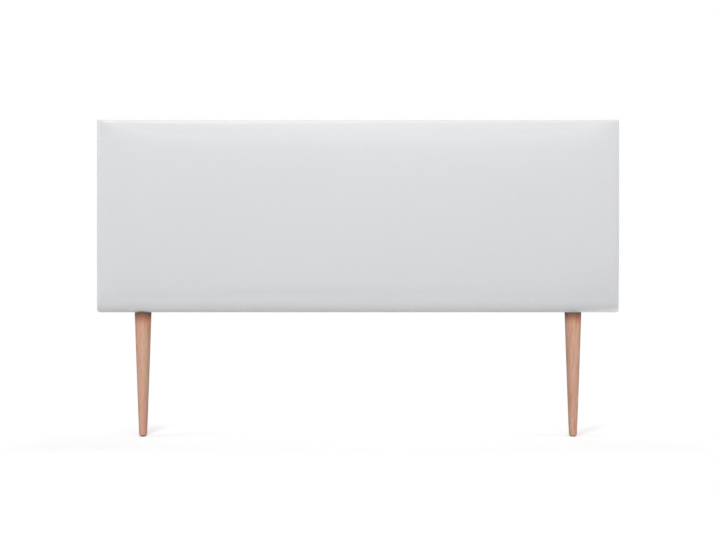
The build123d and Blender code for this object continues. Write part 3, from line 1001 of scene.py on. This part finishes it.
def make_leg(side, material):
    """A turned leg with a rounded foot, bored at its ends for the bolt and the nail."""
    node = f"{side}_leg"
    low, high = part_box(node)
    top_radius = (high.x - low.x) / 2
    bolt_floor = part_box("leg_bolts")[0].z - BORE_CLEARANCE
    nail_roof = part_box("glide_nails")[1].z + BORE_CLEARANCE
    profile = [(NAIL_RADIUS, nail_roof), (NAIL_RADIUS, low.z)]
    profile += rounded_bottom(FOOT_RADIUS, low.z, FOOT_ROUNDING)
    for share in np.linspace(*LEG_SHARES):
        bulge = LEG_BULGE * math.sin(math.pi * share)
        radius = FOOT_RADIUS + (top_radius - FOOT_RADIUS) * share + bulge
        profile.append((radius, low.z + (high.z - low.z) * share))
    profile.append((top_radius - LEG_TOP_EASE, high.z))
    profile += [(BOLT_RADIUS, high.z), (BOLT_RADIUS, bolt_floor)]
    solid = closed_rings(turned_rings(profile, axis_of(node), LEG_SEGMENTS))
    leg = new_object(f"{side}_turned_leg", solid, material)
    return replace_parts(leg, node)


def make_glide(side, material):
    """A moulded glide with a softened rim and the nail's seat inside it."""
    node = f"{side}_glide"
    low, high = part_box(node)
    radius = (high.x - low.x) / 2
    head_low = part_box("glide_nails")[0].z
    head_top = head_low + NAIL_HEAD_HEIGHT
    profile = [(NAIL_HEAD_RADIUS, head_low), (NAIL_HEAD_RADIUS, head_top)]
    profile += [(NAIL_RADIUS, head_top), (NAIL_RADIUS, high.z)]
    profile += [(radius - GLIDE_TOP_EASE, high.z), (radius, high.z - GLIDE_TOP_EASE)]
    profile += list(reversed(rounded_bottom(radius, low.z, GLIDE_ROUNDING)))
    solid = closed_rings(turned_rings(profile, axis_of(node), GLIDE_SEGMENTS))
    glide = new_object(f"{side}_foot_glide", solid, material)
    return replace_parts(glide, node)


def threaded_rings(centre, radius, depth, pitch, low, high, segments=THREAD_SEGMENTS):
    """Rings of a threaded rod round an upright axis, its crest rising as a helix."""
    count = math.ceil((high - low) / pitch * 6)
    rings = []
    for row in range(count + 1):
        height = low + (high - low) * row / count
        fade = min(1, (height - low) / pitch, (high - height) / pitch)
        ring = []
        for step in range(segments):
            turn = step / segments
            crest = 1 - abs(2 * ((height / pitch - turn) % 1) - 1)
            here = radius - depth * (1 - crest * fade)
            angle = 2 * math.pi * turn
            ring.append(centre + Vector((here * math.cos(angle), here * math.sin(angle), height)))
        rings.append(ring)
    return rings


def wood_screw(length):
    """Rings of a countersunk screw, down from its head at the origin to its point."""
    origin = Vector((0, 0, 0))
    core = SCREW_RADIUS - SCREW_THREAD[0]
    head = [(SCREW_HEAD_RADIUS - 0.15 * MM, 0), (SCREW_HEAD_RADIUS, -0.15 * MM)]
    head += [(SCREW_RADIUS, -2 * MM), (core + 0.1 * MM, -4 * MM)]
    tip = [(core * 0.5, 2 * MM - length), (0.15 * MM, -length)]
    thread = threaded_rings(origin, SCREW_RADIUS, *SCREW_THREAD, 4 * MM - length, -4.5 * MM)
    head, tip = [turned_rings(profile, origin, THREAD_SEGMENTS) for profile in (head, tip)]
    return head + thread[::-1] + tip


def cross_recess():
    """Rings of the tapered cross that is pressed into a screw's head."""
    arm, half = 2.1, 0.5
    outline = [(arm, -half), (arm, half), (half, half), (half, arm), (-half, arm), (-half, half)]
    outline += [(-x, -y) for x, y in outline]
    levels = [(0.4, 1.08), (0, 1), (-1.7, 0.45)]
    return [[Vector((x * s, y * s, z)) * MM for x, y in outline] for z, s in levels]


def driven_from_the_back(rings, x, y, z):
    """Rings made down along Z, turned to run into the panel's back at a place."""
    return closed_rings([[Vector((x + p.x, y + p.z, z - p.y)) for p in ring] for ring in rings])


def make_screws(name, node, places, y, length, material):
    """A set of countersunk screws with cross recesses, in place of the plain ones."""
    solids = [driven_from_the_back(wood_screw(length), x, y, z) for x, z in places]
    recesses = [driven_from_the_back(cross_recess(), x, y, z) for x, z in places]
    screws = new_object(name, joined(solids), material, METAL_SHARP_ANGLE)
    cut_away(screws, recesses)
    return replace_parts(screws, node)


def plate_screw_places():
    """Two screws for each keyhole plate, one at either end."""
    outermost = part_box("plate_screws")[1].x - SCREW_HEAD_RADIUS
    offset = outermost - axis_of("right_keyhole_plate").x
    height = axis_of("plate_screws").z
    middles = [axis_of(f"{side}_keyhole_plate").x for side in SIDES]
    return [(middle + end * offset, height) for middle in middles for end in (-1, 1)]


def frame_screw_places():
    """One screw in each corner joint of the frame."""
    low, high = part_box("frame_screws")
    xs = (low.x + SCREW_HEAD_RADIUS, high.x - SCREW_HEAD_RADIUS)
    zs = (low.z + SCREW_HEAD_RADIUS, high.z - SCREW_HEAD_RADIUS)
    return [(x, z) for x in xs for z in zs]


def leg_axis(side):
    """The axis of a leg, at the height of the floor."""
    centre = axis_of(f"{side}_leg")
    return Vector((centre.x, centre.y, 0))


def make_leg_bolts(material):
    """Hanger bolts: a coarse wood thread in the leg and a machine thread above it."""
    low, high = [corner.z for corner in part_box("leg_bolts")]
    joint = PANEL_LOW.z
    core = BOLT_RADIUS - BOLT_WOOD_THREAD[0]
    shank = BOLT_RADIUS - 0.3 * MM
    solids = []
    for side in SIDES:
        centre = leg_axis(side)
        tip = [(0.5 * MM, low), (core * 0.8, low + 3 * MM)]
        rings = turned_rings(tip, centre, THREAD_SEGMENTS)
        coarse = (low + 3.5 * MM, joint - 12 * MM)
        rings += threaded_rings(centre, BOLT_RADIUS, *BOLT_WOOD_THREAD, *coarse)
        plain = [(shank, joint - 11 * MM), (shank, joint - 3 * MM)]
        rings += turned_rings(plain, centre, THREAD_SEGMENTS)
        fine = (joint - 2 * MM, high - 0.8 * MM)
        rings += threaded_rings(centre, BOLT_RADIUS, *BOLT_MACHINE_THREAD, *fine)
        rings += turned_rings([(BOLT_RADIUS - 1.2 * MM, high)], centre, THREAD_SEGMENTS)
        solids.append(closed_rings(rings))
    bolts = new_object("hanger_bolts", joined(solids), material, METAL_SHARP_ANGLE)
    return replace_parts(bolts, "leg_bolts")


def make_inserts(material):
    """Bushes for the leg bolts, with a coarse thread outside."""
    low, high = [corner.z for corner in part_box("threaded_inserts")]
    solids = []
    for side in SIDES:
        centre = leg_axis(side)
        rings = turned_rings([(INSERT_RADIUS - INSERT_THREAD[0], low)], centre, BUSH_SEGMENTS)
        outer = (low + 0.4 * MM, high, BUSH_SEGMENTS)
        rings += threaded_rings(centre, INSERT_RADIUS, *INSERT_THREAD, *outer)
        bore = [(INSERT_BORE, high), (INSERT_BORE, low)]
        rings += turned_rings(bore, centre, BUSH_SEGMENTS)
        solids.append(closed_rings(rings, loop=True))
    inserts = new_object("leg_inserts", joined(solids), material, METAL_SHARP_ANGLE)
    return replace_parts(inserts, "threaded_inserts")


def make_nails(material):
    """The glides' nails, with eased heads and points."""
    low, high = [corner.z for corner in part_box("glide_nails")]
    profile = [(NAIL_HEAD_RADIUS - 0.6 * MM, low), (NAIL_HEAD_RADIUS, low + 0.25 * MM)]
    profile += [(NAIL_HEAD_RADIUS, low + NAIL_HEAD_HEIGHT), (NAIL_RADIUS, low + NAIL_HEAD_HEIGHT)]
    profile += [(NAIL_RADIUS, high - 3 * MM), (0.15 * MM, high)]
    rings = [turned_rings(profile, leg_axis(side), BUSH_SEGMENTS) for side in SIDES]
    solids = [closed_rings(nail) for nail in rings]
    nails = new_object("glide_pins", joined(solids), material, METAL_SHARP_ANGLE)
    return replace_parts(nails, "glide_nails")


def recolour(material, *nodes):
    """Gives CAD nodes a finished material."""
    for node in nodes:
        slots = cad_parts[node].data.materials
        slots.clear()
        slots.append(material)


def ease_edges(width, *nodes):
    """Takes the sharpness off the edges of CAD nodes."""
    for node in nodes:
        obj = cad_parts[node]
        merge = obj.modifiers.new("merge", "WELD")
        merge.merge_threshold = WELD_DISTANCE
        flat = obj.modifiers.new("flat", "DECIMATE")
        flat.decimate_type = "DISSOLVE"
        flat.angle_limit = math.radians(FLAT_ANGLE)
        eased = obj.modifiers.new("eased", "BEVEL")
        eased.width = width
        eased.segments = 2
        eased.limit_method = "ANGLE"
        eased.angle_limit = math.radians(SHARP_ANGLE)


# The stage: floor, light and camera


def white_for_camera(tree, others):
    """White for rays from the camera, mirrors and glass, and another strength for the rest."""
    path = add(tree, "ShaderNodeLightPath").outputs
    seen = math_node(tree, "MAXIMUM", path["Is Camera Ray"], path["Is Glossy Ray"])
    seen = math_node(tree, "MAXIMUM", seen, path["Is Transmission Ray"])
    return spread(tree, seen, others, 1.0)


def light_world(strength):
    """Even light from all round, in front of a white background."""
    world = bpy.data.worlds.new("studio")
    bpy.context.scene.world = world
    world.use_nodes = True
    tree = world.node_tree
    level = white_for_camera(tree, strength)
    connect(tree, tree.nodes["Background"], Strength=level, Color=(1, 1, 1, 1))


def faded(tree, distance, near, far):
    """Rises smoothly from 0 to 1 between two distances from the middle, to both sides."""
    distance = math_node(tree, "ABSOLUTE", distance)
    return spread(tree, distance, start=near, end=far, interpolation_type="SMOOTHSTEP")


def make_floor():
    """A plain pale floor: matt for the light, and white with soft shadows as it is seen."""
    mesh = bpy.data.meshes.new("floor")
    half = FLOOR_HALF
    corners = [(-half, -half, 0), (half, -half, 0), (half, half, 0), (-half, half, 0)]
    mesh.from_pydata(corners, [], [(0, 1, 2, 3)])
    floor = linked("floor", mesh)
    made, tree, shader, coords = start_material("floor")
    connect(tree, shader, Base_Color=FLOOR_COLOUR, Roughness=0.9, Specular_IOR_Level=0.0)
    place = add(tree, "ShaderNodeSeparateXYZ", {"Vector": coords}).outputs
    across, depth = place["X"], place["Y"]
    far_back = faded(tree, depth, *FLOOR_SHADOW_DEPTH)
    far = math_node(tree, "MAXIMUM", far_back, faded(tree, across, *FLOOR_SHADOW_WIDTH))
    # Painted light: the glow grows towards the back to fill the panel's own soft shadow, and a little
    # towards the right
    level = spread(tree, depth, *FLOOR_GLOW, -FLOOR_GLOW_DEPTH, FLOOR_GLOW_DEPTH)
    tilt = math_node(tree, "MULTIPLY", across, FLOOR_GLOW_TILT)
    level = math_node(tree, "ADD", level, tilt)
    glow = add(tree, "ShaderNodeEmission", {"Strength": level})
    lit = add(tree, "ShaderNodeBsdfDiffuse", {"Color": FLOOR_SHADOWED})
    near_look = add(tree, "ShaderNodeAddShader", {0: glow.outputs[0], 1: lit.outputs[0]})
    white = add(tree, "ShaderNodeEmission", {"Strength": 1.0})
    look = {0: far, 1: near_look.outputs[0], 2: white.outputs[0]}
    look = add(tree, "ShaderNodeMixShader", look)
    choice = {0: white_for_camera(tree, 0.0), 1: shader.outputs[0], 2: look.outputs[0]}
    choice = add(tree, "ShaderNodeMixShader", choice)
    tree.links.new(choice.outputs[0], tree.nodes["Material Output"].inputs["Surface"])
    mesh.materials.append(made)


def area_lamp(name, azimuth, elevation, distance, size, power):
    """A square lamp aimed at the panel, from an azimuth to the right of straight in front."""
    turn, tilt = math.radians(azimuth), math.radians(elevation)
    across = math.cos(tilt)
    away = Vector((math.sin(turn) * across, -math.cos(turn) * across, math.sin(tilt)))
    data = bpy.data.lights.new(name, "AREA")
    data.shape = "SQUARE"
    data.size = size
    data.energy = power
    lamp = linked(name, data)
    lamp.location = Vector((0, 0, LAMP_AIM_HEIGHT)) + away * distance
    lamp.rotation_euler = (-away).to_track_quat("-Z", "Y").to_euler()
    lamp.visible_camera = False


def make_camera():
    """A level camera square to the front, at the photograph's scale."""
    data = bpy.data.cameras.new("camera")
    data.sensor_width = SENSOR_WIDTH_MM
    field = PANEL_WIDTH * IMAGE_WIDTH_PX / PANEL_WIDTH_PX
    widest = SIDE_EDGE["depth"] + SIDE_EDGE["fall"]
    data.lens = SENSOR_WIDTH_MM * (CAMERA_DISTANCE + widest) / field
    camera = linked("camera", data)
    camera.location = (0, PANEL_LOW.y - CAMERA_DISTANCE, CAMERA_HEIGHT)
    camera.rotation_euler = (math.pi / 2, 0, 0)
    bpy.context.scene.camera = camera


def make_stage():
    """Everything that isn't part of the object."""
    make_floor()
    light_world(WORLD_STRENGTH)
    for lamp in LAMPS:
        area_lamp(*lamp)
    make_camera()
    bpy.context.scene.view_settings.view_transform = "Standard"


def finish_frame(steel):
    """Finishes the CAD nodes that stay: the wooden frame, the board and the plates."""
    members = [f"{side}_{kind}" for side in SIDES for kind in ("stile", "stud")]
    blocks = [f"{level}_{side}_corner_block" for side in SIDES for level in ("bottom", "top")]
    plates = [f"{side}_keyhole_plate" for side in SIDES]
    recolour(pine("x"), "top_rail", "bottom_rail")
    recolour(pine("z"), *members, *blocks)
    recolour(hardboard(), "front_board")
    recolour(steel, *plates)
    ease_edges(TIMBER_EASE, *members, *blocks)
    ease_edges(PLATE_EASE, *plates)


def main():
    """Builds the dressed part and its stage."""
    leather = leatherette()
    wood = turned_wood()
    steel = zinc_plated()
    plastic = dark_plastic()
    cover = make_cover(leather)
    make_corner_folds(leather)
    make_foam(open_foam())
    make_back_cloth(spunbond())
    make_staples(steel)
    for side in SIDES:
        make_leg(side, wood)
        make_glide(side, plastic)
    frame_screws = (frame_screw_places(), FRAME_BACK, FRAME_SCREW_LENGTH)
    plate_screws = (plate_screw_places(), PLATE_BACK, PLATE_SCREW_LENGTH)
    make_screws("joint_screws", "frame_screws", *frame_screws, steel)
    make_screws("hanger_screws", "plate_screws", *plate_screws, steel)
    make_leg_bolts(steel)
    make_inserts(yellow_passivated())
    make_nails(steel)
    finish_frame(steel)
    make_stage()


main()
